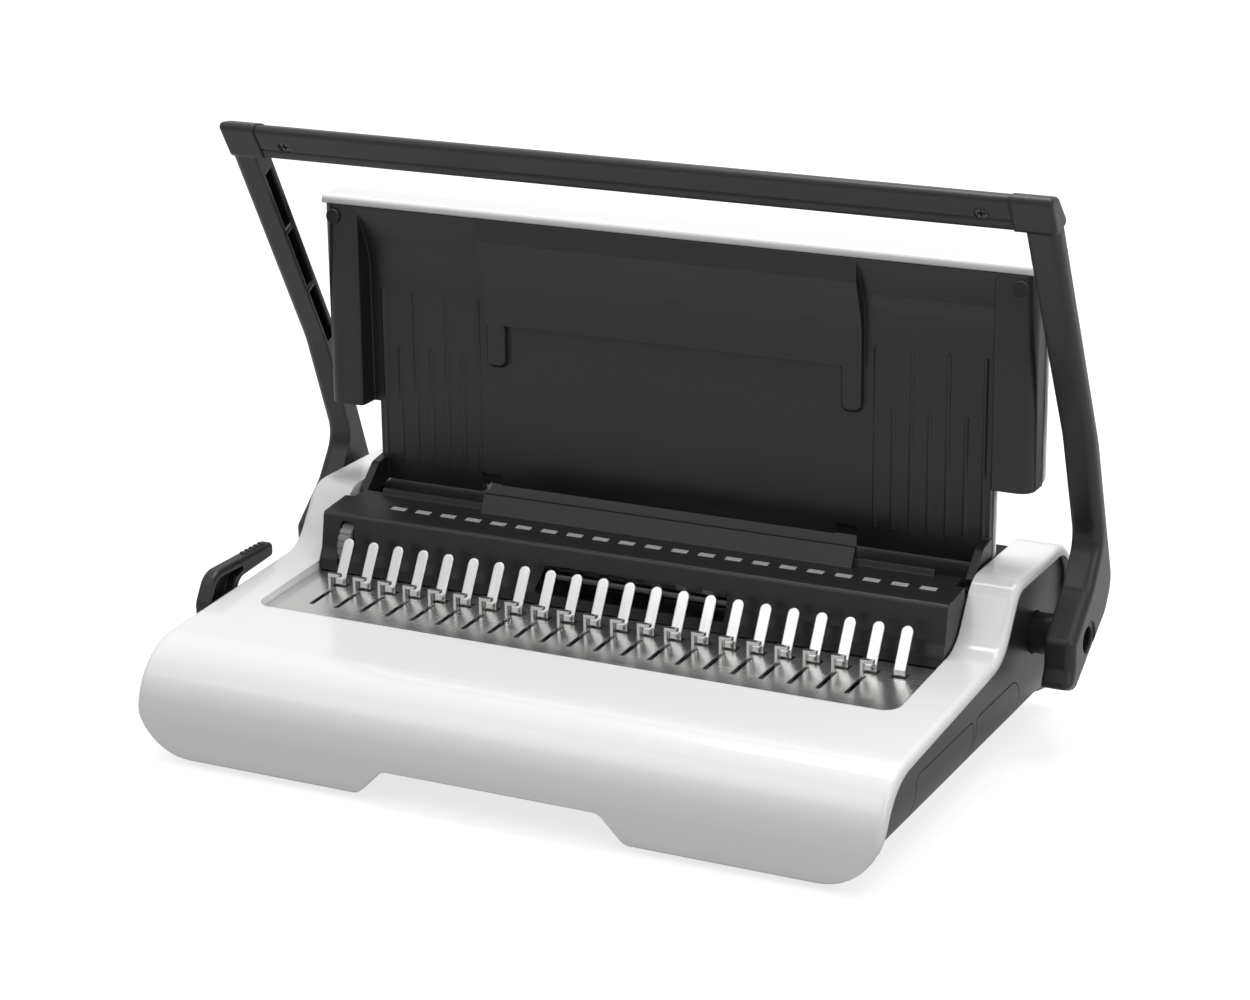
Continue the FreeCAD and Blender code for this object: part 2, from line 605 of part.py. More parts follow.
def opener_lever():
    blade = prism(
        "LeverBlade", "YZ_Plane",
        [
            ("opener_y - 11", "opener_z - 7"), ("opener_y + 9", "opener_z - 7"),
            ("opener_y + 5", "opener_z + 14"), ("opener_y + 14", "opener_z + 30"),
            ("opener_y + 45", "opener_z + 32.5"), ("opener_y + 45", "opener_z + 40"),
            ("opener_y - 9", "opener_z + 40"), ("opener_y - 17.5", "opener_z + 26"),
            ("opener_y - 17", "opener_z + 12"),
        ],
        "-lever_out", "lever_out - lever_in",
        [("6", [0, 1]), ("8", [2, 3]), ("2.5", [4, 5]), ("12", [6]), ("10", [7, 8])],
    )
    outer = value("lever_out")
    inner = value("lever_in")
    rims = edges_on(blade.Shape,
                    lambda edge, middle: min(abs(middle.x + outer), abs(middle.x + inner)) < 1e-3)
    round_edges(blade, blade.Tip, rims, "lever_round")
    bore = rod("LeverBore", "opener_radius", ("-lever_out + 2", "-lever_in + 1"), "opener_y", "opener_z")
    scoop = prism(
        "LeverScoop", "YZ_Plane",
        [
            ("opener_y - 12.5", "opener_z + 14"), ("opener_y", "opener_z + 16"),
            ("opener_y + 9", "opener_z + 31"), ("opener_y + 24", "opener_z + 36"),
            ("opener_y - 7", "opener_z + 36.5"), ("opener_y - 13", "opener_z + 26"),
        ],
        "-lever_in - 5", "7", [("3", [0, 1, 2]), ("1.5", [3]), ("8", [4]), ("6", [5])],
    )
    ribs = [
        box("LeverRib%d" % i, ("-lever_out + 2", "-lever_in - 2"),
            ("opener_y + 22 + 4 * %d" % i, "opener_y + 23.8 + 4 * %d" % i),
            ("opener_z + 38", "opener_z + 40.7"))
        for i in range(5)
    ]
    return cut("LeverCut", fuse("LeverRibbed", blade, *ribs), bore, scoop)


node(opener_lever(), "opener_lever")


# Dies on each side of the paper slot
slot_rear = "slot_front_y + slot_wide"
die_half = "frame_x"


def punch_holes(label, y):
    half = ("(punch_wide / 2 + punch_gap)", "(punch_tall / 2 + punch_gap)")
    return [
        box("%s%d" % (label, i), (hole_x(i) + " - " + half[0], hole_x(i) + " + " + half[0]), y,
            ("punch_z - " + half[1], "punch_z + " + half[1]))
        for i in range(COUNT_HOLES)
    ]


def die(label, y, top, *more):
    plate = box(label + "Plate", ("-(%s)" % die_half, die_half), y, ("die_base_z", top))
    holes = punch_holes(label + "Hole", (y[0] + " - 1", y[1] + " + 1"))
    return cut(label, plate, *holes, *more)


guide_pass = box("GuidePass", ("-frame_x - 1", hole_x(COUNT_HOLES - 1) + " - punch_wide"),
                 ("slot_front_y - die_front_wall - 1", slot_rear + " - 0.01"),
                 ("stop_z + 7", "die_front_z + 1"))
node(die("DieFront", ("slot_front_y - die_front_wall", "slot_front_y"), "die_front_z", guide_pass),
     "die_front_plate")
node(die("DieRear", (slot_rear, slot_rear + " + die_rear_wall"), "die_rear_z"), "die_rear_plate")
spacer = box("SpacerPlate", ("-(%s)" % die_half, die_half), ("slot_front_y", slot_rear),
             ("die_base_z", "die_rear_z"))
paper = box("SpacerMouth", ("-slot_half", "slot_half"), ("slot_front_y - 1", slot_rear + " + 1"),
            ("stop_z", "die_rear_z + 1"))
node(cut("Spacer", spacer, paper), "die_spacer")

# Punches and the bar that drives them
node(box("PunchBar", ("-bar_half", "bar_half"), ("bar_front_y", "bar_rear_y"), ("bar_low_z", "bar_top_z")),
     "punch_bar")
punches = [
    box("Punch%d" % i, (hole_x(i) + " - punch_wide / 2", hole_x(i) + " + punch_wide / 2"),
        ("punch_tip_y", "bar_front_y"),
        ("punch_z - punch_tall / 2", "punch_z + punch_tall / 2"))
    for i in range(COUNT_HOLES)
]
node(group("PunchGroup", *punches), "punch_pins")


# Cams: involute flanks, so the flat punch bar moves by the base radius for each radian of handle swing
def punch_cam(label, x):
    base = value("cam_base")
    lead = value("shaft_y - bar_rear_y - cam_gap") / base
    swing = math.radians(value("pull_angle")) + 0.06
    steps = 12
    flank = []
    for i in range(steps + 1):
        turn = -0.25 + (swing + 0.25) * i / steps
        reach = base * (lead + turn)
        flank.append(FreeCAD.Vector(
            0, base * math.sin(turn) - reach * math.cos(turn),
            base * math.cos(turn) + reach * math.sin(turn)))
    curve = Part.BSplineCurve()
    curve.interpolate(flank)
    tip = flank[-1]
    back = FreeCAD.Vector(0, base * 1.25, 0)
    heel = FreeCAD.Vector(0, 0, -base * 1.25)
    around = Part.Arc(back, FreeCAD.Vector(0, back.y * 0.7071, heel.z * 0.7071), heel)
    root = FreeCAD.Vector(0, flank[0].y, 0)
    toe = Part.LineSegment(heel, root)
    edges = [curve.toShape(), Part.LineSegment(tip, back).toShape(), around.toShape(), toe.toShape(),
             Part.LineSegment(root, flank[0]).toShape()]
    wall = value("cam_wall")
    solid = Part.Face(Part.Wire(edges)).extrude(FreeCAD.Vector(wall, 0, 0))
    bore = Part.makeCylinder(value("shaft_radius"), wall + 2, FreeCAD.Vector(-1, 0, 0),
                             FreeCAD.Vector(1, 0, 0))
    cam = doc.addObject("Part::Feature", label)
    cam.Shape = solid.cut(bore)
    return place(cam, x, "shaft_y", "shaft_z")


node(punch_cam("CamLeft", "-cam_x - cam_wall / 2"), "punch_cam_left")
node(punch_cam("CamRight", "cam_x - cam_wall / 2"), "punch_cam_right")
node(rod("MainShaft", "shaft_radius", ("-arm_out + recess_deep", "arm_out - recess_deep"), "shaft_y",
         "shaft_z"), "main_shaft")
sleeve = cut("Sleeve", rod("SleeveOuter", "sleeve_radius", ("sleeve_in", "arm_in"), "shaft_y", "shaft_z"),
             rod("SleeveBore", "shaft_radius", ("sleeve_in - 1", "arm_in + 1"), "shaft_y", "shaft_z"))
node(sleeve, "axle_sleeve_right")
node(mirror("SleeveTwin", sleeve), "axle_sleeve_left")


# Return springs between the punch bar and the tie rod
def return_spring(label, x):
    helix = doc.addObject("Part::Helix", label + "Path")
    bind(helix, Radius="spring_radius", Pitch="spring_pitch",
         Height="tie_y - tie_radius - bar_rear_y - 3 * spring_wire")
    wire = doc.addObject("Part::Circle", label + "Wire")
    bind(wire, Radius="spring_wire")
    wire.Placement = FreeCAD.Placement(FreeCAD.Vector(), FreeCAD.Rotation(FreeCAD.Vector(1, 0, 0), 90))
    place(wire, "spring_radius")
    coil = doc.addObject("Part::Sweep", label)
    coil.Sections = [wire]
    coil.Spine = (helix, ["Edge1"])
    coil.Solid = True
    coil.Frenet = True
    coil.Placement = FreeCAD.Placement(FreeCAD.Vector(), FreeCAD.Rotation(FreeCAD.Vector(1, 0, 0), -90))
    return place(coil, x, "bar_rear_y + 1.5 * spring_wire", "spring_z")


node(group("SpringGroup", return_spring("SpringLeft", "-spring_x"),
           return_spring("SpringRight", "spring_x")), "return_springs")


# Punch cover: front face with a rolled foot, marked ledge and raised paper wall
def punch_cover():
    half = ("-inner_half", "2 * inner_half")
    foot_z = "plate_z + plate_slope * plate_rear_y + 0.5"
    outer = prism(
        "PunchOuter", "YZ_Plane",
        [
            ("ledge_front_y - 6", foot_z), ("ledge_front_y - 6", foot_z + " + 5"),
            ("ledge_front_y - 3", foot_z + " + 11"),
            ("ledge_front_y", "ledge_front_z"), ("punch_rear_y", "ledge_rear_z"), ("punch_rear_y", foot_z),
        ],
        *half, [("5", [1]), ("8", [2]), ("2.5", [3])],
    )
    inner = prism(
        "PunchInner", "YZ_Plane",
        [
            ("ledge_front_y - 6 + skin", foot_z + " - 5"), ("ledge_front_y - 6 + skin", foot_z + " + 5"),
            ("ledge_front_y - 3 + skin", foot_z + " + 11"),
            ("ledge_front_y + skin", "ledge_front_z - skin"),
            ("punch_rear_y + 1", "ledge_rear_z - skin"), ("punch_rear_y + 1", foot_z + " - 5"),
        ],
        "-inner_half + skin", "2 * inner_half - 2 * skin",
    )
    low_wall = prism(
        "PunchLowWall", "YZ_Plane",
        [("wall_foot_y + 4.4", "ledge_rear_z - 2"), ("punch_rear_y", "ledge_rear_z - 2"),
         ("punch_rear_y", "wall_low_z"),
         ("punch_rear_y - 2", "wall_low_z")],
        "-inner_half + 18", "2 * inner_half - 36",
    )
    high_wall = prism(
        "PunchHighWall", "YZ_Plane",
        [("wall_foot_y", "ledge_rear_z - 2.5"), ("punch_rear_y", "ledge_rear_z - 2.5"),
         ("punch_rear_y", "wall_top_z"),
         ("punch_rear_y - 2.2", "wall_top_z")],
        "wall_left", "wall_right - wall_left",
    )
    dial_slot = prism(
        "DialSlot", "XZ_Plane",
        [("dial_x - dial_slot_wide / 2", "dial_z - 9.5"), ("dial_x + dial_slot_wide / 2", "dial_z - 9.5"),
         ("dial_x + dial_slot_wide / 2", "dial_z + 13.6"), ("dial_x - dial_slot_wide / 2", "dial_z + 13.6")],
        "-ledge_front_y - 5", "ledge_front_y + 5", [("2.8", [0, 1, 2, 3])],
    )
    view = prism(
        "ViewWindow", "XZ_Plane",
        [("view_left - 5", "view_low_z"), ("view_right", "view_low_z"), ("view_right", "view_top_z"),
         ("view_left", "view_top_z")],
        "-ledge_front_y - 4", "ledge_front_y + 4", [("2", [0, 1, 2, 3])],
    )
    clips = [
        box("RodClip", (x, x + " + 4"), ("ledge_front_y - 2.5", "rod_y + 4"), ("rod_z - 2", "rod_z + 5"))
        for x in ("view_left - 11", "view_right + 7")
    ]
    solid = fuse("PunchFuse", cut("PunchShell", outer, inner), low_wall, high_wall, *clips)
    rod_hole = rod("RodHole", "rod_radius", ("view_left - 12", "view_right + 12"), "rod_y", "rod_z")
    ear_room = box("PunchEarRoom", ("inner_half - 5.4", "inner_half + 1"),
                   ("hinge_y - 18", "punch_rear_y + 1"), ("hinge_z - 2", "wall_top_z"))
    return cut("PunchCut", solid, dial_slot, view, rod_hole, *both_sides("PunchEarRoomTwin", ear_room))


node(punch_cover(), "punch_cover")
node(rod("WindowRod", "rod_radius", ("view_left - 12", "view_right + 12"), "rod_y", "rod_z"), "window_rod")


# Rear cover over the punch works, open below and notched for the lid's ears
def rear_cover():
    front = slot_rear + " + die_rear_wall + 1"
    outer = prism(
        "RearOuter", "YZ_Plane",
        [(front, "rear_cover_z"), ("rear_cover_y", "rear_cover_z"), ("rear_cover_y", "base_z + 5"),
         ("rear_cover_y - skin", "base_z + 5"), ("rear_cover_y - skin", "rear_cover_z - skin"),
         (front, "rear_cover_z - skin")],
        "-inner_half", "2 * inner_half", [("10", [1]), ("10 - skin", [4])],
    )
    ears = box("EarRoom", ("inner_half - 7", "inner_half + 1"), (front + " - 1", "hinge_y + 15"),
               ("rear_cover_z - 6", "rear_cover_z + 1"))
    return cut("RearCut", outer, *both_sides("EarRoomTwin", ears))


node(rear_cover(), "rear_cover")
pin = rod("LidPin", "hinge_pin", ("inner_half - 5", "mouth_half + flange_wall"), "hinge_y", "hinge_z")
node(group("LidPins", *both_sides("LidPinTwin", pin)), "lid_hinge_pins")


# Edge guide: thumbwheel on a lead screw that shifts the paper stop
def edge_dial():
    wheel = rod("DialWheel", "dial_radius", ("dial_x - dial_wide / 2", "dial_x + dial_wide / 2"), "dial_y",
                "dial_z")
    grooves = []
    for i in range(20):
        turn = "%d * 18" % i
        grooves.append(rod(
            "DialGroove%d" % i, "0.8", ("dial_x - dial_wide", "dial_x + dial_wide"),
            "dial_y + (dial_radius + 0.2) * cos(%s)" % turn,
            "dial_z + (dial_radius + 0.2) * sin(%s)" % turn))
    axle = rod("DialScrew", "screw_rod", ("-frame_x - frame_wall - 2", "guide_x + 20"), "dial_y", "dial_z")
    return fuse("DialFuse", cut("DialCut", wheel, *grooves), axle)


node(edge_dial(), "edge_dial")


def edge_guide():
    nut = box("GuideNut", ("guide_x", "guide_x + 12"), ("dial_y - 5", "dial_y + 7"),
              ("dial_z - 6", "dial_z + 6"))
    arm = box("GuideArm", ("guide_x", "guide_x + guide_wall"), ("dial_y + 5", slot_rear + " - 0.4"),
              ("dial_z - 4", "dial_z + 4"))
    bore = rod("GuideBore", "screw_rod + run_gap", ("guide_x - 1", "guide_x + 13"), "dial_y", "dial_z")
    return cut("GuideCut", fuse("GuideFuse", nut, arm), bore)


node(edge_guide(), "edge_guide")


# Drawers: a front cut from the flank, and an open tray behind it
def drawer(label, front, rear, end_round, reach):
    face = common(
        label + "Front", shell, drawer_face(label + "Face", front, rear, "0", end_round, "pan_half + 1"))
    y = (front + " + 1", rear + " - 1")
    block = box(label + "Block", (reach, "panel_half - 16"), y, ("tray_floor_z", "tray_rim_z"))
    well = box(label + "Well", (reach + " + tray_wall", "panel_half - 16 - tray_wall"),
               (y[0] + " + tray_wall", y[1] + " - tray_wall"),
               ("tray_floor_z + tray_wall", "tray_rim_z + 1"))
    tie = box(label + "Tie", ("panel_half - 18", "panel_half - 1.6"), (front + " + 6", rear + " - 14"),
              ("tray_rim_z - 4", "tray_rim_z"))
    inside = prism(
        label + "Inside", "XZ_Plane",
        [("pan_half - 10", "base_z + panel_wall / 2"),
         ("panel_half - panel_wall / 2", "base_z + panel_wall / 2"),
         ("panel_half - panel_wall / 2", "2 * hump_top_z"), ("pan_half - 10", "2 * hump_top_z")],
        "-2 * rear_y", "4 * rear_y", [("corner_round - panel_wall / 2", [1])],
    )
    return fuse(label, face, cut(label + "Tray", block, well), common(label + "Web", tie, inside))


node(drawer("Storage", "storage_front_y", "storage_rear_y", "drawer_round", "storage_reach_x"),
     "storage_tray")
node(drawer("Chip", "chip_front_y", "chip_rear_y", "chip_end_round", "chip_reach_x"), "chip_tray")


# Lid: white shell behind a dark panel with wings, ribs and a raised pad
def lid_outline(inset):
    return [
        ("-lid_foot_half + " + inset, "lid_foot_z + " + inset),
        ("lid_foot_half - " + inset, "lid_foot_z + " + inset),
        ("lid_foot_half - " + inset, "lid_wing_z + " + inset),
        ("lid_half - " + inset, "lid_wing_z + " + inset),
        ("lid_half - " + inset, "lid_top_z - " + inset), ("-lid_half + " + inset, "lid_top_z - " + inset),
        ("-lid_half + " + inset, "lid_wing_z + " + inset),
        ("-lid_foot_half + " + inset, "lid_wing_z + " + inset),
    ]


def lid_slab(label, inset, y, rounds=()):
    return prism(label, "XZ_Plane", lid_outline(inset), "-(%s)" % y[1], "(%s) - (%s)" % (y[1], y[0]),
                 rounds)


def foot_room(label, top):
    return box(label, ("wall_left - 17", "wall_right - 11"), ("lid_front_y - 5", "lid_rear_y + 5"),
               ("lid_foot_z - 5", top))


def lid_shell():
    outer = lid_slab("LidOuter", "0", ("lid_seam_y + 0.2", "lid_rear_y"),
                     [("lid_round", [0, 1, 3, 4, 5, 6])])
    rear = value("lid_rear_y")
    rims = edges_on(outer.Shape, lambda edge, middle: abs(middle.y - rear) < 1e-3)
    round_edges(outer, outer.Tip, rims, "lid_round - 1")
    inner = lid_slab("LidInner", "lid_wall", ("lid_front_y", "lid_rear_y - lid_wall"),
                     [("lid_round - lid_wall", [0, 1, 3, 4, 5, 6])])
    brow = box("LidBrowBar", ("-lid_half + 0.6", "lid_half - 0.6"), ("lid_front_y + 1", "lid_rear_y - 4.2"),
               ("lid_top_z - brow_tall", "lid_top_z"))
    front = value("lid_front_y + 1")
    high = value("lid_top_z")
    brow = round_solid("LidBrow", brow,
                       lambda edge, middle: middle.y < front + 0.1 and middle.z > high - 0.1, "2.6")
    room = foot_room("ShellFootRoom", "wall_top_z - 2.5")
    return cut("LidShellCut", fuse("LidShellFuse", cut("LidShellWall", outer, inner), brow), room)


node(lid_shell(), "lid_shell")


def lid_panel():
    top = "lid_top_z - brow_tall - 0.3"
    seam = "lid_seam_y"
    sheet_body = lid_slab("PanelSheet", "1", ("lid_panel_y", "lid_panel_y + lid_wall"))
    trim = box("PanelTrim", ("-lid_half", "lid_half"), ("lid_front_y - 9", "lid_rear_y"),
               (top, "lid_top_z + 5"))
    wing = prism(
        "PanelWing", "XY_Plane",
        [("wing_in", "lid_front_y"), ("lid_half - 0.8", "lid_front_y"), ("lid_half - 0.8", seam),
         ("wing_in", seam)],
        "lid_wing_z + 1", "%s - lid_wing_z - 1" % top, [("2", [0]), ("7", [1])],
    )
    wing_room = prism(
        "PanelWingRoom", "XY_Plane",
        [("wing_in + lid_wall", "lid_front_y + lid_wall"),
         ("lid_half - 0.8 - lid_wall", "lid_front_y + lid_wall"),
         ("lid_half - 0.8 - lid_wall", "lid_rear_y"), ("wing_in + lid_wall", "lid_rear_y")],
        "lid_wing_z + 1 + lid_wall", "%s - lid_wing_z - 1 - 2 * lid_wall" % top, [("4.5", [1])],
    )
    wing_shell = cut("PanelWingShell", wing, wing_room)
    brow = prism(
        "PanelBrow", "YZ_Plane",
        [
            ("lid_front_y", top), ("lid_panel_y + lid_wall", top),
            ("lid_panel_y + lid_wall", "lid_top_z - 44"),
            ("lid_panel_y", "lid_top_z - 44"), ("lid_panel_y - 0.6", "lid_top_z - 30"),
            ("lid_front_y", "lid_top_z - 5.4"),
        ],
        "-wing_in - 1", "2 * wing_in + 2", [("40", [4])],
    )
    pad_brow = prism(
        "PanelPadBrow", "YZ_Plane",
        [
            ("lid_front_y", top), ("lid_panel_y + lid_wall", top),
            ("lid_panel_y + lid_wall", "lid_top_z - 60"),
            ("lid_panel_y - pad_rise", "lid_top_z - 60"), ("lid_panel_y - pad_rise - 0.4", "lid_top_z - 38"),
            ("lid_front_y", "lid_top_z - 16"),
        ],
        "-pad_half", "2 * pad_half", [("40", [4])],
    )
    pad = prism(
        "PanelPad", "XZ_Plane",
        [
            ("-pad_half", "lid_top_z - 14"), ("-pad_half", "pad_leg_z"),
            ("-pad_half + pad_leg", "pad_leg_z"),
            ("-pad_half + pad_leg", "pad_low_z"), ("pad_half - pad_leg", "pad_low_z"),
            ("pad_half - pad_leg", "pad_leg_z"),
            ("pad_half", "pad_leg_z"), ("pad_half", "lid_top_z - 14"),
        ],
        "-lid_panel_y - 1", "pad_rise + 1", [("4", [1, 2, 5, 6]), ("2.5", [3, 4])],
    )
    face = value("lid_panel_y - pad_rise")
    high = value("lid_top_z - 15")
    rims = edges_on(pad.Shape, lambda edge, middle: abs(middle.y - face) < 1e-3 and middle.z < high)
    round_edges(pad, pad.Tip, rims, "pad_rise - 1.4")
    ribs = []
    for i in range(RIBS_A_SIDE):
        x = "rib_first_x + (rib_last_x - rib_first_x) * %d / %d" % (i, RIBS_A_SIDE - 1)
        high_end = "rib_tall_z" if i % 2 == 0 else "rib_short_z"
        ribs.append(post("PanelRib%d" % i, "rib_radius", x, "lid_panel_y + 0.4", ("rib_low_z", high_end)))
    rib_side = fuse("PanelRibs", *ribs)
    returns = [
        box("PanelSide", ("lid_foot_half - 1 - lid_wall", "lid_foot_half - 1"), ("lid_panel_y", seam),
            ("lid_foot_z + 1", "lid_wing_z + 3")),
        box("PanelFoot", ("0", "lid_foot_half - 1"), ("lid_panel_y", seam),
            ("lid_foot_z + 1", "lid_foot_z + 1 + lid_wall")),
        box("PanelEdge", ("lid_foot_half - 1 - lid_wall", "wing_in + 2"), ("lid_panel_y", seam),
            ("lid_wing_z + 1", "lid_wing_z + 1 + lid_wall")),
        prism(
            "PanelEar", "YZ_Plane",
            [("hinge_y - 4.5", "hinge_z"), ("hinge_y - 2", "hinge_z - 4.5"),
             ("hinge_y + 3", "hinge_z - 4.5"),
             ("hinge_y + 9", "hinge_z + 2"), ("lid_panel_y + 1.5", "lid_foot_z + 1"),
             ("lid_panel_y + 1.5", "lid_foot_z + 14"),
             ("hinge_y + 8", "lid_foot_z + 12"), ("hinge_y - 4.5", "hinge_z + 4")],
            "inner_half - 4.8", "4.2", [("2", [0, 1, 2, 7]), ("5", [6])],
        ),
    ]
    right = fuse("PanelRight", wing_shell, rib_side, *returns)
    bore = rod("PanelBore", "hinge_pin + run_gap", ("-lid_half", "lid_half"), "hinge_y", "hinge_z")
    notches = [
        box("PanelNotch", (x, x + " + 11"), ("lid_front_y", "lid_panel_y + 1.5"),
            ("lid_foot_z", "wall_top_z + 0.5"))
        for x in ("wall_left - 17", "wall_right - 22")
    ]
    room = foot_room("PanelFootRoom", "wall_low_z + 0.6")
    solid = fuse("PanelFuse", sheet_body, brow, pad_brow, pad, *both_sides("PanelRightTwin", right))
    return cut("PanelCut", solid, trim, bore, room, *notches)


node(lid_panel(), "lid_panel")


def lid_bumper():
    button = doc.addObject("Part::Cylinder", "Bumper")
    button.Placement = FreeCAD.Placement(FreeCAD.Vector(), FreeCAD.Rotation(FreeCAD.Vector(1, 0, 0), 90))
    bind(button, Radius="bumper_radius", Height="bumper_tall")
    place(button, "bumper_x", "lid_front_y", "bumper_z")
    front = value("lid_front_y - bumper_tall")
    return round_solid("BumperRound", button, lambda edge, middle: edge.BoundBox.YMax < front + 0.1, "0.8")


node(group("Bumpers", *both_sides("BumperTwin", lid_bumper())), "lid_bumpers")


# Handle: two cranked arms with caps, and the cross bar between them
def bar_outline(inset):
    return [
        ("3 + " + inset, "284 - " + inset), ("14.4 + " + inset, "264.8 + " + inset),
        ("30 - " + inset, "268 + " + inset), ("15.5 - " + inset, "282.8 - " + inset),
    ]


def handle_arm():
    arm = prism(
        "ArmBlade", "YZ_Plane",
        [
            ("13.2", "268.3"), ("73.5", "156.5"), ("95", "99"), ("81", "79"), ("57.8", "59.5"),
            ("57.8", "46.5"), ("53.5", "37.5"),
            ("64", "33.5"), ("106", "59"), ("115.8", "74"), ("87", "152.8"), ("24.2", "272.3"),
        ],
        "arm_in", "arm_out - arm_in",
        [("60", [1, 10]), ("16", [2]), ("12", [3]), ("5", [4, 5]), ("2.5", [6, 7]), ("14", [8]),
         ("18", [9])],
    )
    outer = value("arm_out")
    rims = edges_on(arm.Shape, lambda edge, middle: abs(middle.x - outer) < 1e-3 and middle.z < 258)
    round_edges(arm, arm.Tip, rims, "arm_round")
    cap = prism("ArmCap", "YZ_Plane", bar_outline("0"), "cap_in", "arm_out - cap_in",
                [("2.5", [0, 1]), ("3", [2]), ("6", [3])])
    rims = edges_on(cap.Shape, lambda edge, middle: abs(middle.x - outer) < 1e-3)
    round_edges(cap, cap.Tip, rims, "2")
    bore = rod("ArmBore", "shaft_radius", ("arm_in - 1", "arm_out"), "shaft_y", "shaft_z")
    recess = rod("ArmRecess", "recess_radius", ("arm_out - recess_deep", "arm_out + 1"), "shaft_y",
                 "shaft_z")
    dish = rod("ArmDish", "dish_radius", ("arm_out - dish_deep", "arm_out + 1"), "shaft_y", "shaft_z")
    lean = math.atan2(87.0 - 27.0, 267.0 - 152.8)
    tilt = FreeCAD.Rotation(FreeCAD.Vector(1, 0, 0), math.degrees(lean))
    pockets = []
    for i in range(3):
        pocket = doc.addObject("Part::Box", "ArmPocket%d" % i)
        bind(pocket, Length="arm_out - arm_in - 4", Width="6.4", Height="35.5")
        pocket.Placement = FreeCAD.Placement(FreeCAD.Vector(), tilt)
        along = 10 + 38.5 * i
        place(pocket, "arm_in - 1", "%f" % (80.3 - along * math.sin(lean)),
              "%f" % (146.3 + along * math.cos(lean)))
        pockets.append(pocket)
    return cut("ArmCut", fuse("ArmFuse", arm, cap), bore, recess, dish, *pockets)


arm_right = handle_arm()
node(arm_right, "handle_arm_right")
node(mirror("ArmTwin", arm_right), "handle_arm_left")


def on_bar_face(thing):
    """The thing set into the bar's front face, its own Z looking out of it."""
    thing.Placement = FreeCAD.Placement(
        FreeCAD.Vector(), FreeCAD.Rotation(FreeCAD.Vector(1, 0, 0), 90 + value("face_lean")))
    return place(thing, "handle_screw_x", "10.45 + 6 * cos(face_lean)", "272.4 + 6 * sin(face_lean)")


def handle_screw():
    head = post("ScrewHead", "handle_screw_radius", "0", "0", ("0", "5.2"))
    cross = [
        box("ScrewSlot", ("-2", "2"), ("-0.45", "0.45"), ("3.8", "5.4")),
        box("ScrewSlot", ("-0.45", "0.45"), ("-2", "2"), ("3.8", "5.4")),
    ]
    return on_bar_face(cut("HandleScrew", head, *cross))


bar = prism("BarSolid", "YZ_Plane", bar_outline("bar_inset"), "-cap_in", "2 * cap_in",
            [("2.5", [0, 1]), ("3", [2]), ("6", [3])])
crease = prism("BarCrease", "YZ_Plane", [("11.48", "270.57"), ("12.23", "269.38"), ("12.87", "270.61")],
               "-cap_in - 1", "2 * cap_in + 2")
screw_room = on_bar_face(post("ScrewRoom", "handle_screw_radius", "0", "0", ("0", "12")))
node(cut("BarCut", bar, crease, *both_sides("ScrewRoomTwin", screw_room)), "handle_bar")
node(group("HandleScrews", *both_sides("HandleScrewTwin", handle_screw())), "handle_screws")

doc.recompute()
faults = [thing.Name for thing in doc.Objects if "Invalid" in thing.State or "Error" in thing.State]
faults += [thing.Label for thing in NODES if thing.Shape.isNull() or not thing.Shape.isValid()]
if faults:
    raise RuntimeError("these pieces failed: " + ", ".join(faults))

os.makedirs("parts", exist_ok=True)
box_all = FreeCAD.BoundBox()
for thing in NODES:
    thing.Shape.exportStep("parts/%s.step" % thing.Label)
    box_all.add(thing.Shape.BoundBox)
    print(thing.Label, len(thing.Shape.Solids), "solid(s)", round(thing.Shape.Volume), "mm3")
print("whole box", [round(number, 2) for number in (box_all.XMin, box_all.XMax, box_all.YMin, box_all.YMax,
                                                    box_all.ZMin, box_all.ZMax)])
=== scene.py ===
import json
import math

import bmesh
import bpy
from mathutils import Matrix, Quaternion, Vector


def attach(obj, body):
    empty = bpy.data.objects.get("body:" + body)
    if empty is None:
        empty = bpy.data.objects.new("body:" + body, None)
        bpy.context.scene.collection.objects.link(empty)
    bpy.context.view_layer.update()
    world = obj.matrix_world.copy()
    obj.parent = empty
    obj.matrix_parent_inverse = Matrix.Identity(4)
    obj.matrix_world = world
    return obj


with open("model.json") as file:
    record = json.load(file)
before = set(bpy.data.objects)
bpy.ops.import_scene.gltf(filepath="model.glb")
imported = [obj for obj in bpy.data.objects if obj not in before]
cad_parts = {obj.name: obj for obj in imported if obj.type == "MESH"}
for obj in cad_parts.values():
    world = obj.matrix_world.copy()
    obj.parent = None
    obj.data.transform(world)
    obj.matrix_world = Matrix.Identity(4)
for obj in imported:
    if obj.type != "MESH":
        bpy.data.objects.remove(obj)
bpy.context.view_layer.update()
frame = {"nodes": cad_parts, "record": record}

nodes = frame["nodes"]
scene = bpy.context.scene
scene.view_settings.view_transform = "Standard"
print("frame in, %d nodes" % len(nodes))


def newGroup(name, inputs, outputs):
    tree = bpy.data.node_groups.new(name, "ShaderNodeTree")
    for label, kind, value in inputs:
        socket = tree.interface.new_socket(label, in_out="INPUT", socket_type=kind)
        socket.default_value = value
    for label, kind in outputs:
        tree.interface.new_socket(label, in_out="OUTPUT", socket_type=kind)
    return tree, tree.nodes.new("NodeGroupInput"), tree.nodes.new("NodeGroupOutput")


def addNode(tree, kind, **settings):
    node = tree.nodes.new(kind)
    for key, value in settings.items():
        setattr(node, key, value)
    return node


# a socket takes a link from another node, or a fixed value
def feed(tree, value, socket):
    if isinstance(value, bpy.types.NodeSocket):
        tree.links.new(value, socket)
    else:
        socket.default_value = value


def mathNode(tree, operation, first, second):
    node = addNode(tree, "ShaderNodeMath", operation=operation)
    for socket, value in zip(node.inputs, (first, second)):
        feed(tree, value, socket)
    return node.outputs[0]


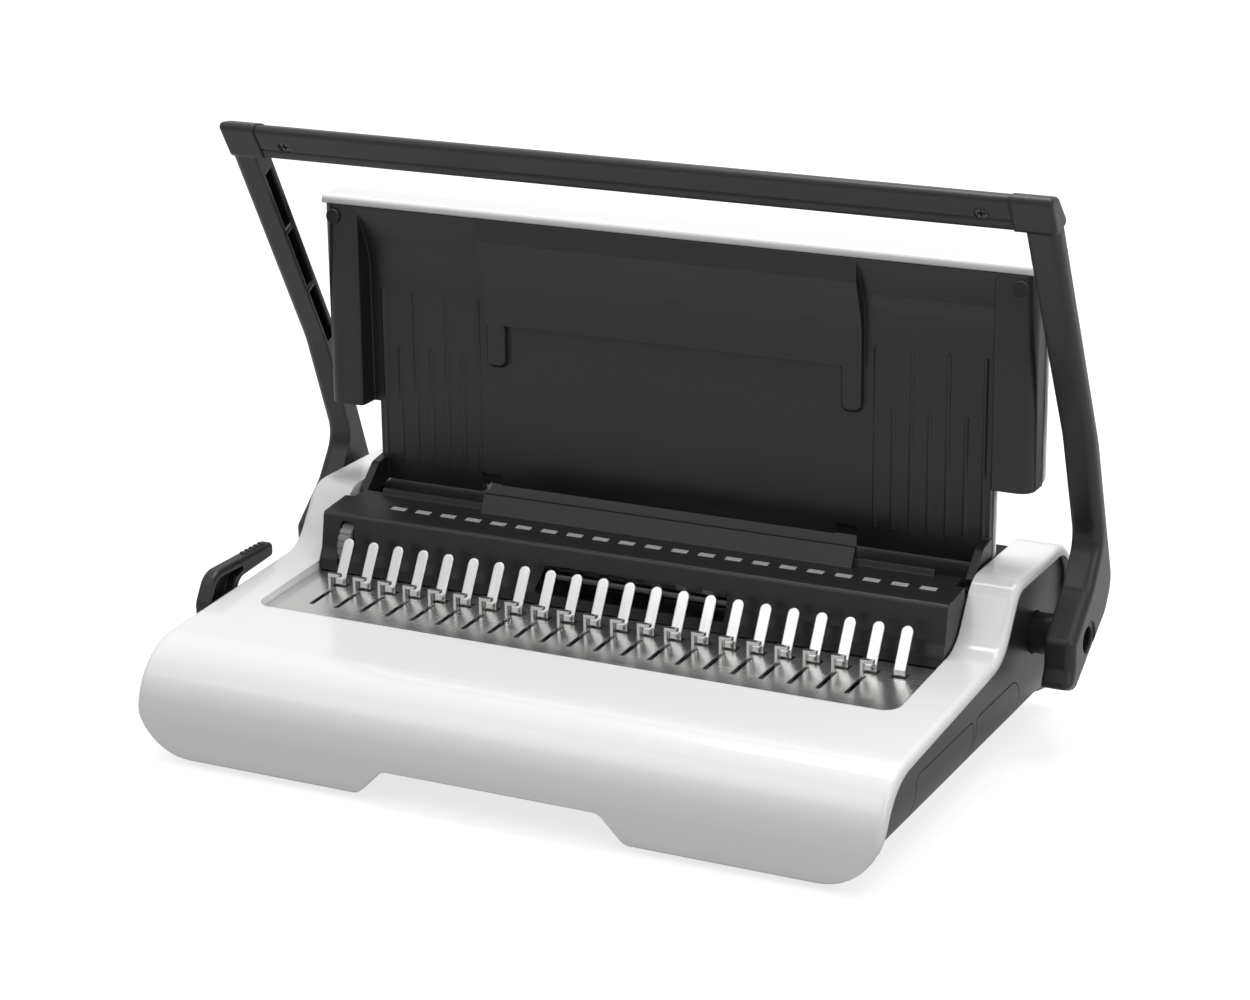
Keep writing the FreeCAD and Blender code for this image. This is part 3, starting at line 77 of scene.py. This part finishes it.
def mixColour(tree, factor, first, second):
    node = addNode(tree, "ShaderNodeMix", data_type="RGBA")
    feed(tree, factor, node.inputs[0])
    feed(tree, first, node.inputs[6])  # 6, 7 and output 2 are the node's colour sockets
    feed(tree, second, node.inputs[7])
    return node.outputs[2]


def spread(tree, value, low, high, toLow, toHigh):
    node = addNode(tree, "ShaderNodeMapRange")
    for socket, number in zip(node.inputs, (value, low, high, toLow, toHigh)):
        feed(tree, number, socket)
    return node.outputs[0]


noiseMiddle = 0.5  # a noise texture swings about this value
fleckShare = 0.6  # the fine grain beside the slow drift


# moulded skin: fine spark grain, slow drift of tone and gloss
def mouldGrainGroup():
    tree, given, out = newGroup(
        "mouldGrain",
        [("Colour", "NodeSocketColor", (0.5, 0.5, 0.5, 1)), ("Grain Scale", "NodeSocketFloat", 900.0),
         ("Drift", "NodeSocketFloat", 0.08), ("Roughness", "NodeSocketFloat", 0.5),
         ("Gloss Drift", "NodeSocketFloat", 0.05)],
        [("Colour", "NodeSocketColor"), ("Roughness", "NodeSocketFloat"), ("Height", "NodeSocketFloat")],
    )
    place = addNode(tree, "ShaderNodeTexCoord").outputs["Object"]
    grain = addNode(tree, "ShaderNodeTexNoise")
    grain.inputs["Detail"].default_value = 3.0
    tree.links.new(place, grain.inputs["Vector"])
    tree.links.new(given.outputs["Grain Scale"], grain.inputs["Scale"])
    drift = addNode(tree, "ShaderNodeTexNoise")
    drift.inputs["Scale"].default_value = 14.0
    drift.inputs["Detail"].default_value = 4.0
    tree.links.new(place, drift.inputs["Vector"])
    swing = mathNode(tree, "SUBTRACT", drift.outputs["Fac"], noiseMiddle)
    fleck = mathNode(tree, "SUBTRACT", grain.outputs["Fac"], noiseMiddle)
    both = mathNode(tree, "ADD", swing, mathNode(tree, "MULTIPLY", fleck, fleckShare))
    lift = mathNode(tree, "ADD", mathNode(tree, "MULTIPLY", both, given.outputs["Drift"]), 1.0)
    scaled = addNode(tree, "ShaderNodeVectorMath", operation="SCALE")
    tree.links.new(given.outputs["Colour"], scaled.inputs[0])
    tree.links.new(lift, scaled.inputs["Scale"])
    tree.links.new(scaled.outputs[0], out.inputs["Colour"])
    gloss = mathNode(tree, "MULTIPLY", both, given.outputs["Gloss Drift"])
    tree.links.new(mathNode(tree, "ADD", gloss, given.outputs["Roughness"]), out.inputs["Roughness"])
    tree.links.new(grain.outputs["Fac"], out.inputs["Height"])
    return tree


# rolled sheet: long fine lines along one way, with faint smears
def brushedGroup():
    tree, given, out = newGroup(
        "brushedLines",
        [("Colour", "NodeSocketColor", (0.6, 0.6, 0.6, 1)), ("Stretch", "NodeSocketVector", (6, 500, 500)),
         ("Contrast", "NodeSocketFloat", 0.12), ("Roughness", "NodeSocketFloat", 0.3),
         ("Gloss Drift", "NodeSocketFloat", 0.12)],
        [("Colour", "NodeSocketColor"), ("Roughness", "NodeSocketFloat"), ("Height", "NodeSocketFloat")],
    )
    place = addNode(tree, "ShaderNodeTexCoord").outputs["Object"]
    stretch = addNode(tree, "ShaderNodeVectorMath", operation="MULTIPLY")
    tree.links.new(place, stretch.inputs[0])
    tree.links.new(given.outputs["Stretch"], stretch.inputs[1])
    lines = addNode(tree, "ShaderNodeTexNoise")
    lines.inputs["Scale"].default_value = 1.0
    lines.inputs["Detail"].default_value = 5.0
    tree.links.new(stretch.outputs[0], lines.inputs["Vector"])
    smear = addNode(tree, "ShaderNodeTexNoise")
    smear.inputs["Scale"].default_value = 22.0
    smear.inputs["Detail"].default_value = 3.0
    tree.links.new(place, smear.inputs["Vector"])
    line = mathNode(tree, "SUBTRACT", lines.outputs["Fac"], noiseMiddle)
    lift = mathNode(tree, "ADD", mathNode(tree, "MULTIPLY", line, given.outputs["Contrast"]), 1.0)
    scaled = addNode(tree, "ShaderNodeVectorMath", operation="SCALE")
    tree.links.new(given.outputs["Colour"], scaled.inputs[0])
    tree.links.new(lift, scaled.inputs["Scale"])
    tree.links.new(scaled.outputs[0], out.inputs["Colour"])
    haze = mathNode(tree, "ADD", line, mathNode(tree, "SUBTRACT", smear.outputs["Fac"], noiseMiddle))
    gloss = mathNode(tree, "MULTIPLY", haze, given.outputs["Gloss Drift"])
    tree.links.new(mathNode(tree, "ADD", gloss, given.outputs["Roughness"]), out.inputs["Roughness"])
    tree.links.new(lines.outputs["Fac"], out.inputs["Height"])
    return tree


# soft edge: the rounded normal, and a mask of the edges, tinted as wear on most finishes, as painted shade
# (dark outlines) on the plated steel and as a painted highlight on the lid and its ribs
def softEdgeGroup():
    tree, given, out = newGroup(
        "softEdge", [("Radius", "NodeSocketFloat", 0.0006)],
        [("Normal", "NodeSocketVector"), ("Edge", "NodeSocketFloat")],
    )
    bevel = addNode(tree, "ShaderNodeBevel", samples=4)
    tree.links.new(given.outputs["Radius"], bevel.inputs["Radius"])
    flat = addNode(tree, "ShaderNodeNewGeometry")
    agree = addNode(tree, "ShaderNodeVectorMath", operation="DOT_PRODUCT")
    tree.links.new(bevel.outputs[0], agree.inputs[0])
    tree.links.new(flat.outputs["Normal"], agree.inputs[1])
    tree.links.new(bevel.outputs[0], out.inputs["Normal"])
    # full where the two normals are about 41 degrees apart
    mask = spread(tree, agree.outputs["Value"], low=0.75, high=1.0, toLow=1.0, toHigh=0.0)
    tree.links.new(mask, out.inputs["Edge"])
    return tree


mouldGrain = mouldGrainGroup()
brushedLines = brushedGroup()
softEdge = softEdgeGroup()


def placeGroup(tree, group, **values):
    node = addNode(tree, "ShaderNodeGroup", node_tree=group)
    for label, value in values.items():
        node.inputs[label.replace("_", " ")].default_value = value
    return node


# one finish: a grain or brushed group, softened edges, then the shader's own fixed values
def makeFinish(name, group, look, edge, bump, **fixed):
    material = bpy.data.materials.new(name)
    material.use_nodes = True
    tree = material.node_tree
    shader = tree.nodes["Principled BSDF"]
    surface = placeGroup(tree, group, **look)
    rim = placeGroup(tree, softEdge, Radius=edge["radius"])
    # edge tint: wear on most finishes, painted shade on the plated steel, a painted highlight on the lid
    edgeWearAndLightMask = mathNode(tree, "MULTIPLY", rim.outputs["Edge"], edge["share"])
    edgeWearAndPaintedLight = mixColour(tree, edgeWearAndLightMask, surface.outputs["Colour"], edge["tone"])
    relief = addNode(tree, "ShaderNodeBump")
    relief.inputs["Strength"].default_value = bump["strength"]
    relief.inputs["Distance"].default_value = bump["distance"]
    tree.links.new(surface.outputs["Height"], relief.inputs["Height"])
    tree.links.new(rim.outputs["Normal"], relief.inputs["Normal"])
    tree.links.new(edgeWearAndPaintedLight, shader.inputs["Base Color"])
    tree.links.new(surface.outputs["Roughness"], shader.inputs["Roughness"])
    tree.links.new(relief.outputs["Normal"], shader.inputs["Normal"])
    for label, value in fixed.items():
        shader.inputs[label.replace("_", " ")].default_value = value
    return material


finishes = {
    "white_shell": makeFinish(
        "whiteShell", mouldGrain,
        {"Colour": (0.80, 0.80, 0.81, 1), "Grain_Scale": 1400.0, "Drift": 0.012,
         "Roughness": 0.16, "Gloss_Drift": 0.05},
        edge={"radius": 0.0011, "tone": (0.86, 0.86, 0.87, 1), "share": 0.3},
        bump={"strength": 0.02, "distance": 0.0001}, Coat_Weight=0.35, Coat_Roughness=0.06),
    "dark_plastic": makeFinish(
        "charcoalMoulding", mouldGrain,
        {"Colour": (0.0125, 0.0120, 0.0113, 1), "Grain_Scale": 1900.0, "Drift": 0.22,
         "Roughness": 0.36, "Gloss_Drift": 0.12},
        edge={"radius": 0.0008, "tone": (0.040, 0.038, 0.036, 1), "share": 0.35},
        bump={"strength": 0.10, "distance": 0.0002}),
    "lid_moulding": makeFinish(
        "charcoalLid", mouldGrain,
        {"Colour": (0.0150, 0.0143, 0.0134, 1), "Grain_Scale": 1900.0, "Drift": 0.22,
         "Roughness": 0.35, "Gloss_Drift": 0.12},
        # the light edge tone is a painted highlight along the lid's edges and rib lines
        edge={"radius": 0.0009, "tone": (0.085, 0.082, 0.078, 1), "share": 0.6},
        bump={"strength": 0.10, "distance": 0.0002}),
    "rear_moulding": makeFinish(
        "mattRearCover", mouldGrain,
        {"Colour": (0.010, 0.0098, 0.0094, 1), "Grain_Scale": 1700.0, "Drift": 0.22,
         "Roughness": 0.68, "Gloss_Drift": 0.12},
        edge={"radius": 0.0008, "tone": (0.030, 0.029, 0.028, 1), "share": 0.35},
        bump={"strength": 0.12, "distance": 0.0002}, Specular_IOR_Level=0.18),
    "black_satin": makeFinish(
        "satinHandle", mouldGrain,
        {"Colour": (0.0135, 0.0130, 0.0123, 1), "Grain_Scale": 1500.0, "Drift": 0.16,
         "Roughness": 0.30, "Gloss_Drift": 0.10},
        edge={"radius": 0.0022, "tone": (0.050, 0.048, 0.046, 1), "share": 0.4},
        bump={"strength": 0.06, "distance": 0.0002}),
    "grey_plastic": makeFinish(
        "greyMoulding", mouldGrain,
        {"Colour": (0.23, 0.23, 0.23, 1), "Grain_Scale": 1500.0, "Drift": 0.10,
         "Roughness": 0.45, "Gloss_Drift": 0.08},
        edge={"radius": 0.0004, "tone": (0.34, 0.34, 0.34, 1), "share": 0.4},
        bump={"strength": 0.08, "distance": 0.0002}),
    "rubber": makeFinish(
        "blackRubber", mouldGrain,
        {"Colour": (0.012, 0.012, 0.012, 1), "Grain_Scale": 1100.0, "Drift": 0.25,
         "Roughness": 0.62, "Gloss_Drift": 0.12},
        edge={"radius": 0.0006, "tone": (0.03, 0.03, 0.03, 1), "share": 0.4},
        bump={"strength": 0.15, "distance": 0.0002}),
    "steel": makeFinish(
        "brushedSheet", brushedLines,
        {"Colour": (0.80, 0.795, 0.785, 1), "Stretch": (8.0, 900.0, 900.0), "Contrast": 0.10,
         "Roughness": 0.25, "Gloss_Drift": 0.12},
        edge={"radius": 0.0003, "tone": (0.75, 0.75, 0.74, 1), "share": 0.5},
        bump={"strength": 0.05, "distance": 0.00005}, Metallic=1.0),
    "bright_steel": makeFinish(
        "platedSteel", brushedLines,
        {"Colour": (0.82, 0.815, 0.805, 1), "Stretch": (700.0, 90.0, 30.0), "Contrast": 0.10,
         "Roughness": 0.14, "Gloss_Drift": 0.10},
        # the dark edge tone is painted shade: dark outlines along the bright steel edges
        edge={"radius": 0.0009, "tone": (0.40, 0.395, 0.39, 1), "share": 0.6},
        bump={"strength": 0.03, "distance": 0.00005}, Metallic=1.0),
    "dark_screw": makeFinish(
        "blackenedSteel", brushedLines,
        {"Colour": (0.10, 0.098, 0.095, 1), "Stretch": (500.0, 500.0, 500.0), "Contrast": 0.3,
         "Roughness": 0.38, "Gloss_Drift": 0.12},
        edge={"radius": 0.0003, "tone": (0.24, 0.235, 0.23, 1), "share": 0.5},
        bump={"strength": 0.05, "distance": 0.00005}, Metallic=1.0),
    "mark_print": makeFinish(
        "printedMark", mouldGrain,
        {"Colour": (0.36, 0.36, 0.355, 1), "Grain_Scale": 2600.0, "Drift": 0.16,
         "Roughness": 0.5, "Gloss_Drift": 0.08},
        edge={"radius": 0.0002, "tone": (0.28, 0.28, 0.275, 1), "share": 0.4},
        bump={"strength": 0.05, "distance": 0.0001}),
    "bush_brass": makeFinish(
        "turnedBrass", brushedLines,
        {"Colour": (0.70, 0.52, 0.24, 1), "Stretch": (900.0, 30.0, 30.0), "Contrast": 0.2,
         "Roughness": 0.32, "Gloss_Drift": 0.10},
        edge={"radius": 0.0003, "tone": (0.85, 0.70, 0.40, 1), "share": 0.4},
        bump={"strength": 0.04, "distance": 0.00005}, Metallic=1.0),
}
print("finishes made: %d" % len(finishes))

for entry in frame["record"]["subparts"]:
    solid = nodes[entry["node"]]
    solid.data.materials.clear()
    solid.data.materials.append(finishes[entry["material_slot"]])
ownFinish = {
    "handle_screws": "dark_screw", "window_rod": "dark_screw", "main_shaft": "dark_screw",
    "lid_panel": "lid_moulding", "rear_cover": "rear_moulding",
}
for name, finish in ownFinish.items():
    nodes[name].data.materials[0] = finishes[finish]
print("finishes on the solids")


mm = 0.001
comb = {"pitch": 14.2875, "rightX": 152.95, "count": 21}  # the hole row, in millimetres


def addPiece(name, bm, finish, body):
    mesh = bpy.data.meshes.new(name)
    bmesh.ops.scale(bm, vec=(mm, mm, mm), verts=bm.verts)
    bm.to_mesh(mesh)
    bm.free()
    piece = bpy.data.objects.new(name, mesh)
    scene.collection.objects.link(piece)
    piece.data.materials.append(finishes[finish])
    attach(piece, body)


def addBlock(bm, size, matrix, bevel):
    made = bmesh.ops.create_cube(bm, size=1.0)
    bmesh.ops.scale(bm, vec=size, verts=made["verts"])
    edges = list({edge for vert in made["verts"] for edge in vert.link_edges})
    shaped = bmesh.ops.bevel(bm, geom=edges, offset=bevel, segments=2, affect="EDGES", profile=0.5)
    rounded = {vert for face in shaped["faces"] for vert in face.verts}
    kept = {vert for vert in made["verts"] if vert.is_valid}
    bmesh.ops.transform(bm, matrix=matrix, verts=list(rounded | kept))


ledgeMark = {"size": (8.2, 3.4, 0.5), "y": 28.0, "z": 87.98, "slope": 5.95, "round": 0.18}

marks = bmesh.new()
lean = Matrix.Rotation(math.radians(ledgeMark["slope"]), 4, "X")
for i in range(comb["count"]):
    spot = Matrix.Translation((comb["rightX"] - comb["pitch"] * i, ledgeMark["y"], ledgeMark["z"]))
    addBlock(marks, ledgeMark["size"], spot @ lean, ledgeMark["round"])
addPiece("ledgeMarks", marks, "mark_print", "base")
print("ledge marks on")


studio = {
    "floorSize": 12.0, "floorTone": 0.34, "floorRough": 0.7, "floorLift": 0.77,
    "skyTone": 0.85, "skyHeight": 0.9, "wallTone": 0.12, "mirrored": 0.35,
}
softboxes = {
    "keyBox": {"place": (-0.9, -1.5, 1.9), "target": (0, 0, 0.05), "size": (1.2, 1.0), "power": 4.0},
    "topBox": {"place": (0.1, 0.5, 2.0), "target": (0, 0, 0.1), "size": (1.6, 1.0), "power": 33.0},
    "sideBox": {"place": (1.7, -0.6, 0.9), "target": (0.1, 0, 0.15), "size": (0.6, 1.2), "power": 5.0},
}


# how white the surroundings look: in full to the camera, in part in reflections
def seenMask(tree):
    path = addNode(tree, "ShaderNodeLightPath")
    mirrored = mathNode(tree, "MULTIPLY", path.outputs["Is Glossy Ray"], studio["mirrored"])
    return mathNode(tree, "MAXIMUM", path.outputs["Is Camera Ray"], mirrored)


def addFloor():
    bpy.ops.mesh.primitive_plane_add(size=studio["floorSize"])
    floor = bpy.context.object
    floor.name = "floor"
    material = bpy.data.materials.new("paleFloor")
    material.use_nodes = True
    tree = material.node_tree
    shader = tree.nodes["Principled BSDF"]
    shader.inputs["Base Color"].default_value = (studio["floorTone"],) * 3 + (1,)
    shader.inputs["Roughness"].default_value = studio["floorRough"]
    shader.inputs["Emission Color"].default_value = (1, 1, 1, 1)
    lift = mathNode(tree, "MULTIPLY", seenMask(tree), studio["floorLift"])
    tree.links.new(lift, shader.inputs["Emission Strength"])
    floor.data.materials.append(material)


# bright overhead and dim round the walls, plain white where it is seen
def addWorld():
    world = bpy.data.worlds.new("studioWorld")
    world.use_nodes = True
    tree = world.node_tree
    back = tree.nodes["Background"]
    back.inputs["Color"].default_value = (1, 1, 1, 1)
    way = addNode(tree, "ShaderNodeTexCoord").outputs["Generated"]
    height = addNode(tree, "ShaderNodeSeparateXYZ")
    tree.links.new(way, height.inputs[0])
    glow = spread(tree, height.outputs["Z"], low=0.0, high=studio["skyHeight"],
                  toLow=studio["wallTone"], toHigh=studio["skyTone"])
    seen = spread(tree, seenMask(tree), low=0.0, high=1.0, toLow=glow, toHigh=1.0)
    tree.links.new(seen, back.inputs["Strength"])
    scene.world = world


def addSoftbox(name, box):
    data = bpy.data.lights.new(name, "AREA")
    data.shape = "RECTANGLE"
    data.size, data.size_y = box["size"]
    data.energy = box["power"]
    lamp = bpy.data.objects.new(name, data)
    lamp.location = box["place"]
    aim = Vector(box["target"]) - Vector(box["place"])
    lamp.rotation_euler = aim.to_track_quat("-Z", "Y").to_euler()
    scene.collection.objects.link(lamp)


addFloor()
addWorld()
for name, box in softboxes.items():
    addSoftbox(name, box)

lens = {
    "place": (0.6497, -1.2765, 0.5855), "look": (-0.4265, 0.8498, -0.3097), "roll": -0.653,
    "focal": 91.0, "sensor": 36.0,
}
eye = bpy.data.objects.new("photoCamera", bpy.data.cameras.new("photoCamera"))
eye.data.sensor_fit = "HORIZONTAL"
eye.data.sensor_width = lens["sensor"]
eye.data.lens = lens["focal"]
eye.location = lens["place"]
level = Vector(lens["look"]).to_track_quat("-Z", "Y")
eye.rotation_euler = (level @ Quaternion((0, 0, 1), math.radians(lens["roll"]))).to_euler()
scene.collection.objects.link(eye)
scene.camera = eye
print("stage and camera set")
